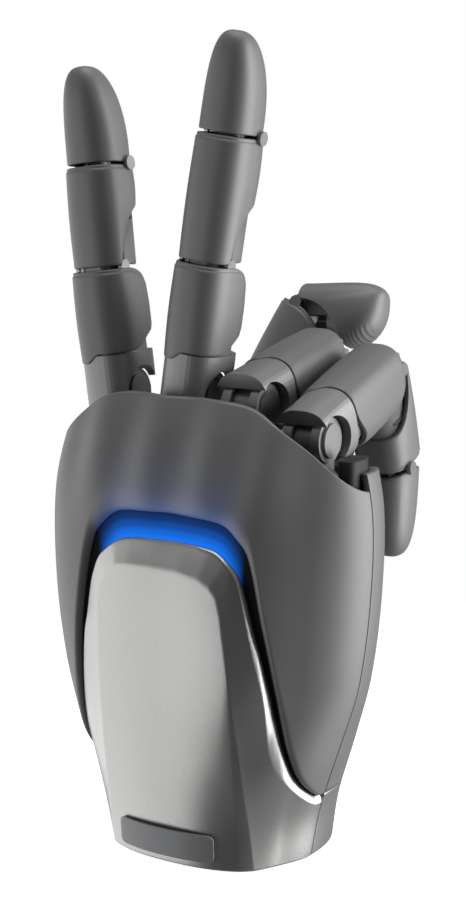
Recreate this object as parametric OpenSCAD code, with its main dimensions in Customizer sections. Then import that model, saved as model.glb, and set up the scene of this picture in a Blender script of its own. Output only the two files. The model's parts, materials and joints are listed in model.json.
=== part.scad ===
// Dexterous robot hand, a right hand holding up its index and middle fingers.
// The origin is the centre of the wrist flange's outer face. The fingers point up (+Z), the back of the
// hand faces -Y, the little finger is on the +X side and the thumb on the -X side.

/* [Palm] */
// Height of the palm body, from the wrist face to the top of the section stations
palm_height = 140; // [136:0.5:146]
// Greatest half width of the palm
palm_half_width = 51.8; // [50:0.1:54]
// Half width of the round wrist end
wrist_half_width = 33; // [32:0.1:35]
// Greatest depth of the back of the hand, from the mid plane
back_depth = 33; // [31:0.1:35]
// Depth of the palm side at the middle of the hand, from the mid plane
palm_depth = 21; // [20:0.1:22]
// Depth of the wrist end, from the mid plane
wrist_depth = 30.6; // [30:0.1:33]
// Wall of the palm shells
shell_wall = 2.2; // [1.6:0.1:2.8]
// Gap between neighbouring shells
seam_gap = 0.3; // [0.2:0.05:0.6]
// Height of the silver wrist cuff
cuff_height = 20.6; // [18:0.1:24]
// Height of the top of the silver tongue on the back of the hand
tongue_top = 96.7; // [90:0.1:100]
// Height of the groove between the tongue's top and the dark shell
groove_height = 7.6; // [6:0.1:10]
// Height of the top edge of the palm-side shell
palm_edge_top = 110; // [104:0.5:114]
// Depth of the flutes in the back of the hand, in line with the fingers
flute_depth = 1; // [0.4:0.1:1.5]

/* [Wrist flange] */
// Thickness of the wrist flange
flange_thick = 9; // [8:0.1:11]
// Inset of the flange from the inside of the cuff
flange_inset = 1.1; // [1:0.05:1.4]
// Radius of the bolt circle, as ISO 9409-1-50-4-M6 has it
bolt_circle_r = 25; // [24:0.1:25.5]
// Radius of each tapped M6 hole, at its tapping size
bolt_hole_r = 2.5; // [2:0.05:3.3]
// Number of bolt holes
bolt_count = 4; // [3:1:8]
// Radius of the centring bore
centre_bore_r = 15.75; // [14:0.05:17]
// Depth of the centring bore
centre_bore_depth = 6; // [4:0.1:7]

/* [Knuckles] */
// Place of the index knuckle across the hand
index_x = -35; // [-36:0.1:-34]
// Place of the middle knuckle across the hand
middle_x = -8.6; // [-9.4:0.1:-8]
// Place of the ring knuckle across the hand
ring_x = 10; // [9.6:0.1:11]
// Place of the little knuckle across the hand
little_x = 30.4; // [30:0.1:31.5]
// Height of the middle knuckle's axis
knuckle_height = 135.5; // [134:0.1:137]
// Radius of a knuckle barrel
barrel_r = 6.6; // [6.2:0.1:6.8]
// Width of a knuckle barrel
barrel_width = 12; // [11:0.1:13]
// Radius of a knuckle pin
knuckle_pin_r = 2; // [1.6:0.05:2.2]
// Distance from a knuckle's axis down to its swing pin
swing_drop = 15; // [14.5:0.1:16]
// Radius of a swing pin
swing_pin_r = 2.5; // [2:0.05:2.8]
// Radial running clearance of every pin
pin_clear = 0.04; // [0.02:0.01:0.08]
// Clearance between parts that move past each other
part_clear = 0.35; // [0.3:0.05:0.5]

/* [Fingers] */
// Length of the index finger's first phalanx, from axis to axis
index_first = 37; // [35:0.1:40]
// Length of the middle finger's first phalanx
middle_first = 38; // [36:0.1:41]
// Length of the ring finger's first phalanx
ring_first = 43.5; // [42.5:0.1:44.5]
// Length of the little finger's first phalanx
little_first = 44; // [43:0.1:45]
// Length of the index finger's middle phalanx
index_mid = 30.5; // [28:0.1:33]
// Length of the middle finger's middle phalanx
middle_mid = 37; // [34:0.1:40]
// Length of the ring finger's middle phalanx
ring_mid = 33; // [31:0.1:36]
// Length of the little finger's middle phalanx
little_mid = 30.5; // [29:0.1:32]
// Length of a fingertip, from its axis
tip_length = 29; // [27:0.1:31]
// Half width of a first-phalanx cover
first_half_width = 9; // [8.8:0.05:9.1]
// Half depth of a first-phalanx cover
first_half_depth = 11; // [10.7:0.1:11.2]
// Half width of a middle-phalanx cover
mid_half_width = 8.7; // [8.5:0.05:8.9]
// Half depth of a middle-phalanx cover
mid_half_depth = 9.6; // [9.3:0.1:9.8]
// Half width of a fingertip cover
tip_half_width = 8.4; // [8.3:0.05:8.7]
// Half depth of a fingertip cover
tip_half_depth = 9.1; // [8.8:0.1:9.4]
// Wall of the finger covers
cover_wall = 1.4; // [1.2:0.1:1.6]
// Gap across a finger joint at the back of the finger
joint_gap = 0.8; // [0.6:0.05:1.2]
// Radius of a finger joint's pin
joint_pin_r = 1.4; // [1.2:0.05:1.5]
// Radius of a finger joint pin's head
pin_head_r = 2.1; // [2:0.05:2.3]
// Offset of the middle joint's axis toward the back of the finger
mid_axis_back = 2.6; // [2.4:0.05:2.8]
// Offset of the end joint's axis toward the pad of the finger
end_axis_fore = 3; // [2.9:0.05:3.1]

/* [Thumb] */
// Place of the thumb's base joint across the hand
thumb_x = -34; // [-35:0.1:-33]
// Place of the thumb's base joint in front of the mid plane
thumb_y = 34.2; // [33.4:0.1:35]
// Height of the thumb's base joint
thumb_z = 76; // [75:0.1:77]
// Length of the thumb's metacarpal
thumb_meta = 55; // [54:0.1:56]
// Length of the thumb's first phalanx
thumb_first = 32; // [31:0.1:33]
// Length of the thumb's tip
thumb_tip = 27.5; // [27:0.1:29]
// Half width of the thumb's covers
thumb_half_width = 9; // [8.8:0.05:9.2]
// Half depth of the thumb's covers
thumb_half_depth = 10; // [9.6:0.1:10.2]

/* [Hidden] */
$fn = 48;
FINGER_NODES = ["knuckle", "knuckle_pin", "first_frame", "first_cover", "middle_frame", "middle_cover",
    "joint_pins", "coupling_rod", "tip_frame", "tip_cover"];
FINGERS = ["index", "middle", "ring", "little"];

// Palm sections from the wrist face up: share of the height, of the width's growth, depth at the back,
// depth at the palm, corner exponent and sideways shift
stations = [
    [0.00, 0.00, wrist_depth, wrist_depth, 2.3, 0],
    [0.11, 0.21, wrist_depth + 0.4, wrist_depth - 1.1, 2.3, -1],
    [0.25, 0.53, back_depth - 1, palm_depth + 6, 2.4, -0.8],
    [0.39, 0.81, back_depth, palm_depth + 3, 2.5, -0.5],
    [0.57, 0.98, back_depth, palm_depth, 2.6, -0.3],
    [0.75, 1.00, back_depth - 3, palm_depth - 1.5, 2.7, -0.3],
    [0.89, 0.80, back_depth - 10, palm_depth - 2, 2.8, -0.5],
    [1.00, 0.58, back_depth - 18, palm_depth - 3, 2.8, 0]];
station_z = [for (s = stations) s[0] * palm_height];
station_width = [for (s = stations) wrist_half_width + s[1] * (palm_half_width - wrist_half_width)];
station_back = [for (s = stations) s[2]];
station_palm = [for (s = stations) s[3]];
station_corner = [for (s = stations) s[4]];
station_shift = [for (s = stations) s[5]];

// Outline of the tongue: angle away from the middle of the back, and height
tongue_turn = [0, 12, 18, 23, 31, 42, 60, 80, 90];
tongue_share = [1, 0.985, 0.942, 0.878, 0.64, 0.352, 0.129, 0.003, 0];
tongue_z = [for (s = tongue_share) cuff_height + s * (tongue_top - cuff_height)];
groove_turn = 1.13;

// Place, height and rest angles of the four fingers, index first
finger_x = [index_x, middle_x, ring_x, little_x];
finger_z = [for (drop = [2.5, 0, 3, 11]) knuckle_height - drop];
finger_swing = [-7.5, 7.2, 0, 0];
first_bend = [0, 2, 80, 73];
middle_bend = [3, 2, 92, 88];
first_length = [index_first, middle_first, ring_first, little_first];
middle_length = [index_mid, middle_mid, ring_mid, little_mid];
finger_pitch = (little_x - middle_x) / 2;
// Turn of the fingertip for each degree of the middle joint, the crank that gives it and its link
end_ratio = 0.27;
crank_y = -5.6;
crank_in = 4.3;
crank_r = 1;
crank_travel = 2.6;
link_in = 4.85;
link_out = 5.6;
link_half = 1.1;

// Sections of the fingers: corner exponent, edges of the covers and the notches at the middle joint
corner = 2.8;
tip_corner = 2.6;
tip_lean = 0.42;
cover_start = 12;
cover_rise = 5;
cover_crown = 0.03;
mid_notch = 18;
first_notch = 14;
first_round = 13.2;
guard_half = 6.9;
guard_depth = 13.6;
guard_wall = 1;
guard_sink = 0.3;
seat_gap = 0.25;
press_clear = 0.01;
// Knuckles and finger joints: inner tongues, cheeks, eyes and ears
tongue_half = 2.8;
cheek_out = 5.4;
middle_axis_y = -mid_axis_back;
end_axis_y = end_axis_fore;
joint_eye_r = 5;
end_eye_r = 4;
thumb_eye_r = 3.4;
end_cheek = 1.35;
swing_ear = 2.4;
swing_eye_r = 5.2;
knuckle_depth = 6;
neck_half = 4.8;
pin_head = 1.2;
pin_sunk = 0.9;
pin_proud = 0.3;

// Shells: turn and half width of the seam at the little-finger and thumb sides, and the light strip
// behind them
seam_turn = 4;
half_seam = 0.2;
strip_lap = 1.5;
strip_wall = 1.2;
strip_gap = 0.45;
cuff_floor = 0.4;
// Name plate on the tongue: middle and half of its turn, heights, thickness and lift
plate_turn = -90.5;
plate_half_turn = 23.9;
plate_low = 3;
plate_high = 11;
plate_thick = 0.5;
plate_lift = 0.62;
// Chassis: foot ring, upright plate with its holes, and knuckle deck
foot_r = 27;
foot_bore_r = 14;
foot_thick = 4;
deck_z = 98;
deck_thick = 4;
deck_half_width = 45;
deck_half_depth = 16.5;
upright_y = [-3, 1];
lightening_z = 80;
// Drives in front of and behind the upright plate, and the control board
motor_r = 7;
motor_gap = 0.3;
shaft_r = 1.6;
shaft_hole_r = 3;
shaft_length = 28;
back_motor_x = [-24, -8, 8, 24];
front_motor_x = [-8, 9, 26];
board_half = 22;
board_z = [22, 62];
board_thick = 1.6;
// Thumb: its drum and pin, rest angles, and the room inside its covers
thumb_pin_y = 24;
thumb_drum_r = 9;
thumb_drum_z = [48, 69];
thumb_boss = 7;
thumb_pin_r = 3;
thumb_pin_length = 26;
thumb_turn = [-21, -18.6, -89.6];
thumb_bend = 66;
thumb_inner_w = thumb_half_width - cover_wall - seat_gap;
thumb_inner_d = thumb_half_depth - cover_wall - seat_gap;

// Smooth curve through the points xs, ys
function slope(xs, ys, i) = let (a = max(i - 1, 0), b = min(i + 1, len(xs) - 1))
    (ys[b] - ys[a]) / (xs[b] - xs[a]);
function span(xs, x, i = 0) = i >= len(xs) - 2 || x < xs[i + 1] ? i : span(xs, x, i + 1);
function curve(xs, ys, x) = let (i = span(xs, x), h = xs[i + 1] - xs[i], t = (x - xs[i]) / h)
    (2 * t^3 - 3 * t^2 + 1) * ys[i] + (t^3 - 2 * t^2 + t) * h * slope(xs, ys, i)
    + (3 * t^2 - 2 * t^3) * ys[i + 1] + (t^3 - t^2) * h * slope(xs, ys, i + 1);
function ramp(t) = let (s = min(max(t, 0), 1)) s * s * (3 - 2 * s);
function rounded(c, n) = sign(c) * pow(abs(c), 2 / n);

// Point of the palm's outer surface, sunk by inset, at an angle from +X toward the palm side
function flute(x, z) = flute_depth * cos(360 * (x - middle_x) / finger_pitch) * ramp((z - 92) / 30);
function palm_point(turn, z, inset = 0) =
    let (n = curve(station_z, station_corner, z),
        x = curve(station_z, station_shift, z)
            + (curve(station_z, station_width, z) - inset) * rounded(cos(turn), n),
        depth = sin(turn) < 0 ? curve(station_z, station_back, z) + flute(x, z)
            : curve(station_z, station_palm, z))
    [x, (depth - inset) * rounded(sin(turn), n), z];

// Edges of the palm shells
function tongue_edge(turn) = curve(tongue_turn, tongue_z, min(abs(turn + 90), 90));
function groove_edge(turn) = let (z = tongue_edge(-90 + (turn + 90) / groove_turn))
    z + seam_gap + groove_height * (z - cuff_height) / (tongue_top - cuff_height);
function back_top(turn) = let (x = palm_half_width * rounded(cos(turn), corner))
    palm_height - 4 - (x > 0 ? 22 * pow(max(x - 10, 0) / 40, 2.4) : 16 * pow(max(-x - 24, 0) / 26, 2.2));
function palm_top(turn) = palm_edge_top + 3 * pow(abs(cos(turn)), 4);

// Faces between neighbouring loops of n points, for a skin of rows loops
function skin(rows, n, closed) = [for (i = [0:rows - (closed ? 1 : 2)], j = [0:n - 1])
    let (a = i * n + j, b = i * n + (j + 1) % n, c = (i + 1) % rows * n + (j + 1) % n, d = (i + 1) % rows
        * n + j)
    each [[a, b, c], [a, c, d]]];
// Cap over a loop that folds back on itself, as the cross-section of a wall does
function fold_cap(start, n) = [for (k = [0:n / 2 - 2])
    let (a = start + k, b = start + k + 1, c = start + n - 2 - k, d = start + n - 1 - k) each [[a, c, b],
        [a, d, c]]];
function flipped(faces) = [for (f = faces) [for (i = [len(f) - 1:-1:0]) f[i]]];

// Part of the palm's wall between two angles; low and high give its edges' heights
module palm_wall(turn_a, turn_b, low, high, wall, steps, rows, sink = 0) {
    n = 2 * (rows + 1);
    loops = [for (i = [0:steps]) let (turn = turn_a + (turn_b - turn_a) * i / steps, za = low(turn), zb =
        high(turn))
        concat([for (k = [0:rows]) palm_point(turn, za + (zb - za) * k / rows, sink)],
            [for (k = [rows:-1:0]) palm_point(turn, za + (zb - za) * k / rows, sink + wall)])];
    last = steps * n;
    polyhedron([for (l = loops) each l],
        concat(skin(steps + 1, n, false), fold_cap(0, n), flipped(fold_cap(last, n))));
}

// Outline of a rounded section
module section(half_w, half_d, n = corner) {
    polygon([for (a = [0:7.5:359]) [half_w * rounded(cos(a), n), half_d * rounded(sin(a), n)]]);
}

// Tube cover of a phalanx around the line y = mid_y; low(y) and high(y) give its end edges
module cover(half_w, half_d, mid_y, low, high, wall = cover_wall, steps = 24, rows = 7) {
    ring = function (w, d, t) [for (i = [0:steps - 1]) let (a = 360 * i / steps, crown = 1 + cover_crown
        * sin(180 * t),
        x = w * crown * rounded(cos(a), corner), y = d * crown * rounded(sin(a), corner))
        [x, mid_y + y, low(y) * (1 - t) + high(y) * t]];
    rings = concat([for (k = [0:rows]) ring(half_w, half_d, k / rows)],
        [for (k = [rows:-1:0]) ring(half_w - wall, half_d - wall, k / rows)]);
    polyhedron([for (r = rings) each r], flipped(skin(len(rings), steps, true)));
}

// Closed cap cover of a fingertip; the tip leans toward the back of the finger
module tip_cover_shape(half_w, half_d, mid_y, length, low, steps = 24, rows = 9) {
    lean = half_d * tip_lean;
    ring = function (w, d, top, t) [for (i = [0:steps - 1]) let (a = 360 * i / steps,
        h = 1 - pow(1 - t, 1.8), s = pow(max(1 - pow(h, 2.4), 0.0004), 1 / 2.9),
        x = w * s * rounded(cos(a), tip_corner), y = d * s * rounded(sin(a), tip_corner))
        [x, mid_y + y - lean * h * h, low(y) * (1 - h) + top * h]];
    rings = concat([for (k = [rows:-1:0]) ring(half_w, half_d, length, k / rows)],
        [for (k = [0:rows - 1]) ring(half_w - cover_wall, half_d - cover_wall, length * 0.72, k / rows)]);
    last = (len(rings) - 1) * steps;
    polyhedron([for (r = rings) each r], concat(skin(len(rings), steps, false),
        [[for (i = [0:steps - 1]) steps - 1 - i]], [[for (i = [0:steps - 1]) last + i]]));
}

// Round bar along X, centred on the origin
module x_bar(r, length) rotate([0, 90, 0]) cylinder(r = r, h = length, center = true);
module y_bar(r, length) rotate([90, 0, 0]) cylinder(r = r, h = length, center = true);
// Box given by its low and high corners
module box(a, b) translate(a) cube(b - a);

// Frames of the fingers' parts, each with its origin on its own joint axis
module at_knuckle(f) translate([finger_x[f], 0, finger_z[f]]) rotate([0, finger_swing[f], 0]) children();
module at_first(f) at_knuckle(f) rotate([-first_bend[f], 0, 0]) children();
module at_middle(f) at_first(f) translate([0, middle_axis_y, first_length[f]])
    rotate([-middle_bend[f], 0, 0]) children();
module at_tip(f) at_middle(f) translate([0, end_axis_y - middle_axis_y, middle_length[f]])
    rotate([-end_ratio * middle_bend[f], 0, 0]) children();

module finger_knuckle(f) at_knuckle(f) color("dimgray") difference() {
    union() {
        x_bar(barrel_r, barrel_width);
        box([-neck_half, -neck_half, -swing_drop], [neck_half, neck_half, -2]);
        translate([0, 0, -swing_drop]) y_bar(swing_eye_r, 2 * knuckle_depth);
    }
    box([-tongue_half - part_clear, -barrel_r - 1, -5.5], [tongue_half + part_clear, barrel_r + 1,
        barrel_r + 1]);
    x_bar(knuckle_pin_r + press_clear, barrel_width + 2);
    translate([0, 0, -swing_drop]) y_bar(swing_pin_r + pin_clear, 2 * knuckle_depth + 2);
}

module finger_knuckle_pin(f) at_knuckle(f) color("silver") {
    x_bar(knuckle_pin_r, barrel_width + 0.4);
    for (side = [-1, 1])
        translate([side * (barrel_width / 2 + 0.6), 0, 0]) x_bar(barrel_r - 1.6, 0.9);
}

// First-phalanx frame: pocket round the barrel, inner tongue on the pin and arm to the middle joint
module finger_first_frame(f) at_first(f) color("gray") {
    length = first_length[f];
    inner_w = first_half_width - cover_wall - seat_gap;
    inner_d = first_half_depth - cover_wall - seat_gap;
    difference() {
        union() {
            difference() {
                union() {
                    translate([0, 0, -4]) linear_extrude(cover_start + 3.6)
                        section(first_half_width - 0.15, first_half_depth - 0.3);
                    translate([0, 0, cover_start - 1]) linear_extrude(9) section(inner_w, inner_d);
                }
                x_bar(barrel_r + 0.8, 2 * first_half_width + 2);
                box([-15, 0, -5], [15, 15, 3.5]);
                box([-swing_eye_r - 0.5, knuckle_depth - 1.4, 3], [swing_eye_r + 0.5, 15, barrel_r + 1.4]);
                box([-15, -barrel_r + 0.4, -5], [15, 1, 0]);
            }
            x_bar(knuckle_depth - 1, 2 * tongue_half);
            box([-tongue_half, -3, 0], [tongue_half, 4, cover_start]);
            box([-tongue_half, middle_axis_y - joint_eye_r, cover_start], [tongue_half, 1, length]);
            translate([0, middle_axis_y, length]) x_bar(joint_eye_r, 2 * tongue_half);
        }
        x_bar(knuckle_pin_r + pin_clear, 4 * tongue_half);
        translate([0, middle_axis_y, length]) x_bar(joint_pin_r + pin_clear, 4 * tongue_half);
    }
}

// Edges of the covers at a finger's middle joint, for y from the phalanx's mid line
function first_end(y, length) = length - joint_gap / 2
    - first_notch * (1 - sqrt(1 - pow(min(max(y + 2, 0) / first_round, 0.999), 2)));
function middle_start(y, half_d) = joint_gap / 2
    + mid_notch * sqrt(1 - pow(1 - min(max((y - middle_axis_y + 1.2) / (half_d - middle_axis_y + 1.4),
        0), 1), 2));

module finger_first_cover(f) at_first(f) color("dimgray") difference() {
    cover(first_half_width, first_half_depth, 0,
        function (y) cover_start + cover_rise * ramp((y + 4) / 12),
        function (y) first_end(y, first_length[f]));
    translate([0, middle_axis_y, first_length[f]]) x_bar(pin_head_r + part_clear, 30);
    box([-guard_half - part_clear, 3, first_length[f] - guard_depth], [guard_half + part_clear, 15,
        first_length[f] + 1]);
}

// Middle frame: two cheeks on the pin, a web behind the notch and a tongue at the end joint
module finger_middle_frame(f) at_middle(f) color("silver") {
    length = middle_length[f];
    inner_w = mid_half_width - cover_wall - seat_gap;
    inner_d = mid_half_depth - cover_wall - seat_gap;
    mid_y = -middle_axis_y;
    end_y = end_axis_y - middle_axis_y;
    difference() {
        union() {
            intersection() {
                cheeks(tongue_half + part_clear, cheek_out, joint_eye_r, mid_notch - 1);
                translate([0, mid_y, -joint_eye_r - 1]) linear_extrude(mid_notch + joint_eye_r)
                    section(inner_w, inner_d);
            }
            translate([0, mid_y, mid_notch - 3.5]) linear_extrude(5) {
                intersection() {
                    section(inner_w, inner_d);
                    translate([-cheek_out, -inner_d]) square([2 * cheek_out, inner_d]);
                }
                section(guard_half - guard_wall - 0.3, inner_d);
            }
            box([-tongue_half, end_y - end_eye_r, mid_notch], [tongue_half, end_y + end_eye_r, length]);
            translate([0, end_y, length]) x_bar(end_eye_r, 2 * tongue_half);
        }
        x_bar(joint_pin_r + press_clear, 30);
        translate([0, end_y, length]) x_bar(joint_pin_r + press_clear, 30);
        box([4.8, end_y + crank_y - 2.4, 8], [9, end_y + crank_y + 3.2, length]);
    }
}

// Channel that fills the middle cover's notch and slides into the first cover's slot as the joint bends
module joint_guard(half_d, reach) intersection() {
    difference() {
        union() {
            linear_extrude(reach) section(guard_half, half_d - guard_sink);
            translate([0, 0, reach - 1.2]) linear_extrude(1.2) section(guard_half + 0.8, half_d -
                guard_sink);
        }
        translate([0, 0, -1]) linear_extrude(reach + 2)
            section(guard_half - guard_wall, half_d - cover_wall);
        box([-tongue_half - 0.6, 0, -1], [tongue_half + 0.6, 15, 5.2]);
    }
    box([-15, 2 + middle_axis_y, joint_gap / 2 + 0.1], [15, 15, reach]);
}

module finger_middle_cover(f) at_middle(f) color("dimgray") difference() {
    union() {
        cover(mid_half_width, mid_half_depth, -middle_axis_y,
            function (y) middle_start(y, mid_half_depth),
            function (y) middle_length[f] - joint_gap / 2);
        translate([0, -middle_axis_y, 0]) joint_guard(mid_half_depth, mid_notch + 2);
    }
    x_bar(pin_head_r + part_clear, 30);
    translate([0, end_axis_y - middle_axis_y, middle_length[f]]) x_bar(pin_head_r + part_clear, 30);
}

module joint_pin(half_w) {
    x_bar(joint_pin_r, 2 * half_w);
    for (side = [-1, 1]) translate([side * half_w, 0, 0]) x_bar(pin_head_r, pin_head);
}

module finger_joint_pins(f) at_middle(f) color("silver") {
    joint_pin(mid_half_width - pin_sunk);
    translate([0, end_axis_y - middle_axis_y, middle_length[f]]) joint_pin(mid_half_width + pin_proud);
}

// Link beside the middle frame, with a slotted eye on the fingertip's crank pin
module finger_coupling_rod(f) at_middle(f) translate([0, end_axis_y - middle_axis_y + crank_y,
    middle_length[f]])
    color("silver") difference() {
        union() {
            box([link_in, -link_half, mid_notch / 2 - middle_length[f]], [link_out, link_half, 0]);
            box([link_in, -crank_r - 0.8, -crank_r - 0.8], [link_out, crank_r + 1.1, crank_travel +
                crank_r + 0.8]);
        }
        box([link_in - 1, -crank_r - 0.1, -0.2], [link_out + 1, crank_r + 0.6, crank_travel + 0.2]);
        for (z = [-0.2, crank_travel + 0.2]) translate([0, 0.25, z]) x_bar(crank_r + 0.35, 30);
    }

module finger_tip_frame(f) at_tip(f) color("silver") {
    inner_w = tip_half_width - cover_wall - seat_gap;
    inner_d = tip_half_depth - cover_wall - seat_gap;
    difference() {
        union() {
            intersection() {
                cheeks(tongue_half + part_clear, tongue_half + part_clear + end_cheek, end_eye_r, 8);
                translate([0, -end_axis_y, -end_eye_r - 1]) linear_extrude(end_eye_r + 10)
                    section(inner_w - 0.5, inner_d - 0.5);
            }
            translate([0, -end_axis_y, 5]) linear_extrude(4) section(inner_w * 0.9, inner_d * 0.9);
            translate([crank_in, crank_y, 0]) rotate([0, 90, 0]) cylinder(r = crank_r, h = link_out -
                crank_in + 0.1);
            box([tongue_half + part_clear, crank_y - crank_r, 0], [tongue_half + part_clear + end_cheek,
                -end_eye_r, 7]);
        }
        x_bar(joint_pin_r + pin_clear, 30);
    }
}

module finger_tip_cover(f) at_tip(f) color("dimgray") difference() {
    tip_cover_shape(tip_half_width, tip_half_depth, -end_axis_y, tip_length,
        function (y) joint_gap / 2 + 0.6 * max(y - end_axis_y, 0));
    x_bar(pin_head_r + part_clear, 30);
}

// Palm and wrist
function swing_place(f) = [finger_x[f] - swing_drop * sin(finger_swing[f]), 0,
    finger_z[f] - swing_drop * cos(finger_swing[f])];

module back_shell() color("dimgray")
    palm_wall(-180 + seam_turn + half_seam, -seam_turn - half_seam,
        function (turn) groove_edge(turn), function (turn) back_top(turn), shell_wall, 48, 8);

module palm_shell() color("dimgray") difference() {
    palm_wall(-seam_turn + half_seam, 180 + seam_turn - half_seam,
        function (turn) cuff_height + seam_gap, function (turn) palm_top(turn), shell_wall, 44, 6);
    translate([thumb_x, thumb_pin_y, thumb_drum_z[0] - 8.5])
        cylinder(r = thumb_drum_r + 2, h = 2 * (thumb_drum_z[1] - thumb_drum_z[0]) + 6);
}

module back_cover() color("silver")
    palm_wall(-180 + seam_turn + half_seam, -seam_turn - half_seam,
        function (turn) cuff_floor, function (turn) tongue_edge(turn), shell_wall, 48, 7);

module wrist_cuff() color("silver")
    palm_wall(-seam_turn + half_seam, 180 + seam_turn - half_seam,
        function (turn) cuff_floor, function (turn) cuff_height, shell_wall, 40, 2);

module light_strip() color("dodgerblue")
    palm_wall(-180 + 2 * seam_turn, -2 * seam_turn, function (turn) tongue_edge(turn) - strip_lap,
        function (turn) groove_edge(turn) + strip_lap,
        strip_wall, 48, 1, shell_wall + strip_gap);

module name_plate() color("gray")
    palm_wall(plate_turn - plate_half_turn, plate_turn + plate_half_turn, function (turn) plate_low,
        function (turn) plate_high, plate_thick, 14, 1, -plate_lift);

module wrist_flange() color("silver") difference() {
    linear_extrude(flange_thick)
        section(wrist_half_width - shell_wall - flange_inset, wrist_depth - shell_wall - flange_inset, 2.3);
    translate([0, 0, -1]) cylinder(r = centre_bore_r, h = centre_bore_depth + 1, $fn = 96);
    translate([0, 0, -1]) cylinder(r = centre_bore_r - 5, h = flange_thick + 2);
    for (i = [0:bolt_count - 1]) rotate([0, 0, 45 + 360 * i / bolt_count])
        translate([bolt_circle_r, 0, -1]) cylinder(r = bolt_hole_r, h = flange_thick + 2);
}

// Chassis: foot ring, upright plate, knuckle deck with the ears of the swing pins, and the thumb's bracket
module chassis() color("gray") difference() {
    union() {
        difference() {
            translate([0, 0, flange_thick]) cylinder(r = foot_r, h = foot_thick);
            translate([0, 0, flange_thick - 1]) cylinder(r = foot_bore_r, h = foot_thick + 2);
        }
        translate([0, upright_y[1], 0]) rotate([90, 0, 0]) linear_extrude(upright_y[1] - upright_y[0])
            difference() {
            polygon([[-24, flange_thick + 1], [24, flange_thick + 1], [30, 40], [42, 80], [42, deck_z + 1],
                [-42, deck_z + 1], [-42, 60], [-40, 46], [-30, 36]]);
            translate([0, lightening_z]) circle(r = 9);
            for (x = [-24, 24]) translate([x, lightening_z]) circle(r = 7);
        }
        translate([0, 0, deck_z]) linear_extrude(deck_thick) section(deck_half_width, deck_half_depth);
        for (f = [0:3], side = [-1, 1]) let (p = swing_place(f), y = side * (knuckle_depth + part_clear +
            swing_ear / 2)) {
            translate([p[0], y, p[2]]) y_bar(swing_eye_r, swing_ear);
            translate([p[0], y, (deck_z + p[2]) / 2 + 0.5])
                cube([2 * swing_eye_r, swing_ear, p[2] - deck_z - 1], center = true);
        }
        translate([thumb_x, thumb_pin_y, thumb_drum_z[0] - thumb_boss]) cylinder(r = thumb_drum_r, h =
            thumb_boss - 0.3);
        box([thumb_x - 3.5, 0, thumb_drum_z[0] - thumb_boss], [thumb_x + 3.5, thumb_pin_y,
            thumb_drum_z[0] - 0.3]);
    }
    for (f = [0:3]) translate(swing_place(f)) y_bar(swing_pin_r + press_clear, 30);
    for (x = back_motor_x) translate([x, upright_y[0] - motor_r - motor_gap, deck_z - 1])
        cylinder(r = shaft_hole_r, h = deck_thick + 2);
    translate([thumb_x, thumb_pin_y, thumb_drum_z[0] - thumb_boss - 5]) cylinder(r = thumb_pin_r +
        press_clear, h = 20);
}

module swing_pins() color("silver") {
    for (f = [0:3]) translate(swing_place(f)) y_bar(swing_pin_r, 2 * (knuckle_depth + part_clear +
        swing_ear) + 1);
    translate([thumb_x, thumb_pin_y, thumb_drum_z[0] - thumb_boss]) cylinder(r = thumb_pin_r, h =
        thumb_pin_length);
}

// Drive cylinders: a row for the fingers behind the plate and three for the thumb and the swing in front
module drive(height) {
    cylinder(r = motor_r, h = height);
    cylinder(r = shaft_r, h = height + shaft_length);
}
module actuators() color("darkgray") {
    for (x = back_motor_x) translate([x, upright_y[0] - motor_r - motor_gap, flange_thick + foot_thick])
        drive(52);
    for (x = front_motor_x) translate([x, upright_y[1] + motor_r + motor_gap, flange_thick + foot_thick +
        5]) drive(44);
}

module control_board() color("seagreen") {
    board_y = upright_y[0] - 2 * (motor_r + motor_gap);
    face_y = board_y - board_thick;
    box([-board_half, face_y, board_z[0]], [board_half, board_y, board_z[1]]);
    box([-14, face_y - board_thick, 42], [-4, face_y + 0.1, 52]);
    box([3, face_y - 1.2, 44], [11, face_y + 0.1, 50]);
    box([-10, face_y - 2.9, board_z[0] + 3], [10, face_y + 0.1, board_z[0] + 9]);
}

// Thumb
module at_thumb() translate([thumb_x, thumb_y, thumb_z]) rotate(thumb_turn) children();
module at_thumb_first() at_thumb() translate([0, 0, thumb_meta]) children();
module at_thumb_tip() at_thumb_first() translate([0, middle_axis_y, thumb_first]) rotate([-thumb_bend, 0,
    0]) children();

module cheeks(inner, outer, r, reach) for (side = [-1, 1]) mirror([side < 0 ? 1 : 0, 0, 0]) {
    translate([inner, 0, 0]) rotate([0, 90, 0]) cylinder(r = r, h = outer - inner);
    box([inner, -r, min(0, reach)], [outer, r, max(0, reach)]);
}

module thumb_base() color("dimgray") difference() {
    union() {
        translate([thumb_x, thumb_pin_y, thumb_drum_z[0]])
            cylinder(r = thumb_drum_r, h = thumb_drum_z[1] - thumb_drum_z[0]);
        at_thumb() cheeks(tongue_half + part_clear, tongue_half + 3, 5, -11);
    }
    at_thumb() x_bar(joint_pin_r + pin_clear, 30);
    at_thumb() x_bar(6, 2 * (tongue_half + part_clear));
    translate([thumb_x, thumb_pin_y, thumb_drum_z[0] - 1]) cylinder(r = thumb_pin_r + pin_clear, h = 21);
}

module thumb_root_pins() color("silver") {
    at_thumb() x_bar(joint_pin_r, 2 * (tongue_half + 3.4));
    at_thumb_first() joint_pin(thumb_half_width + pin_proud);
}

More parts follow.
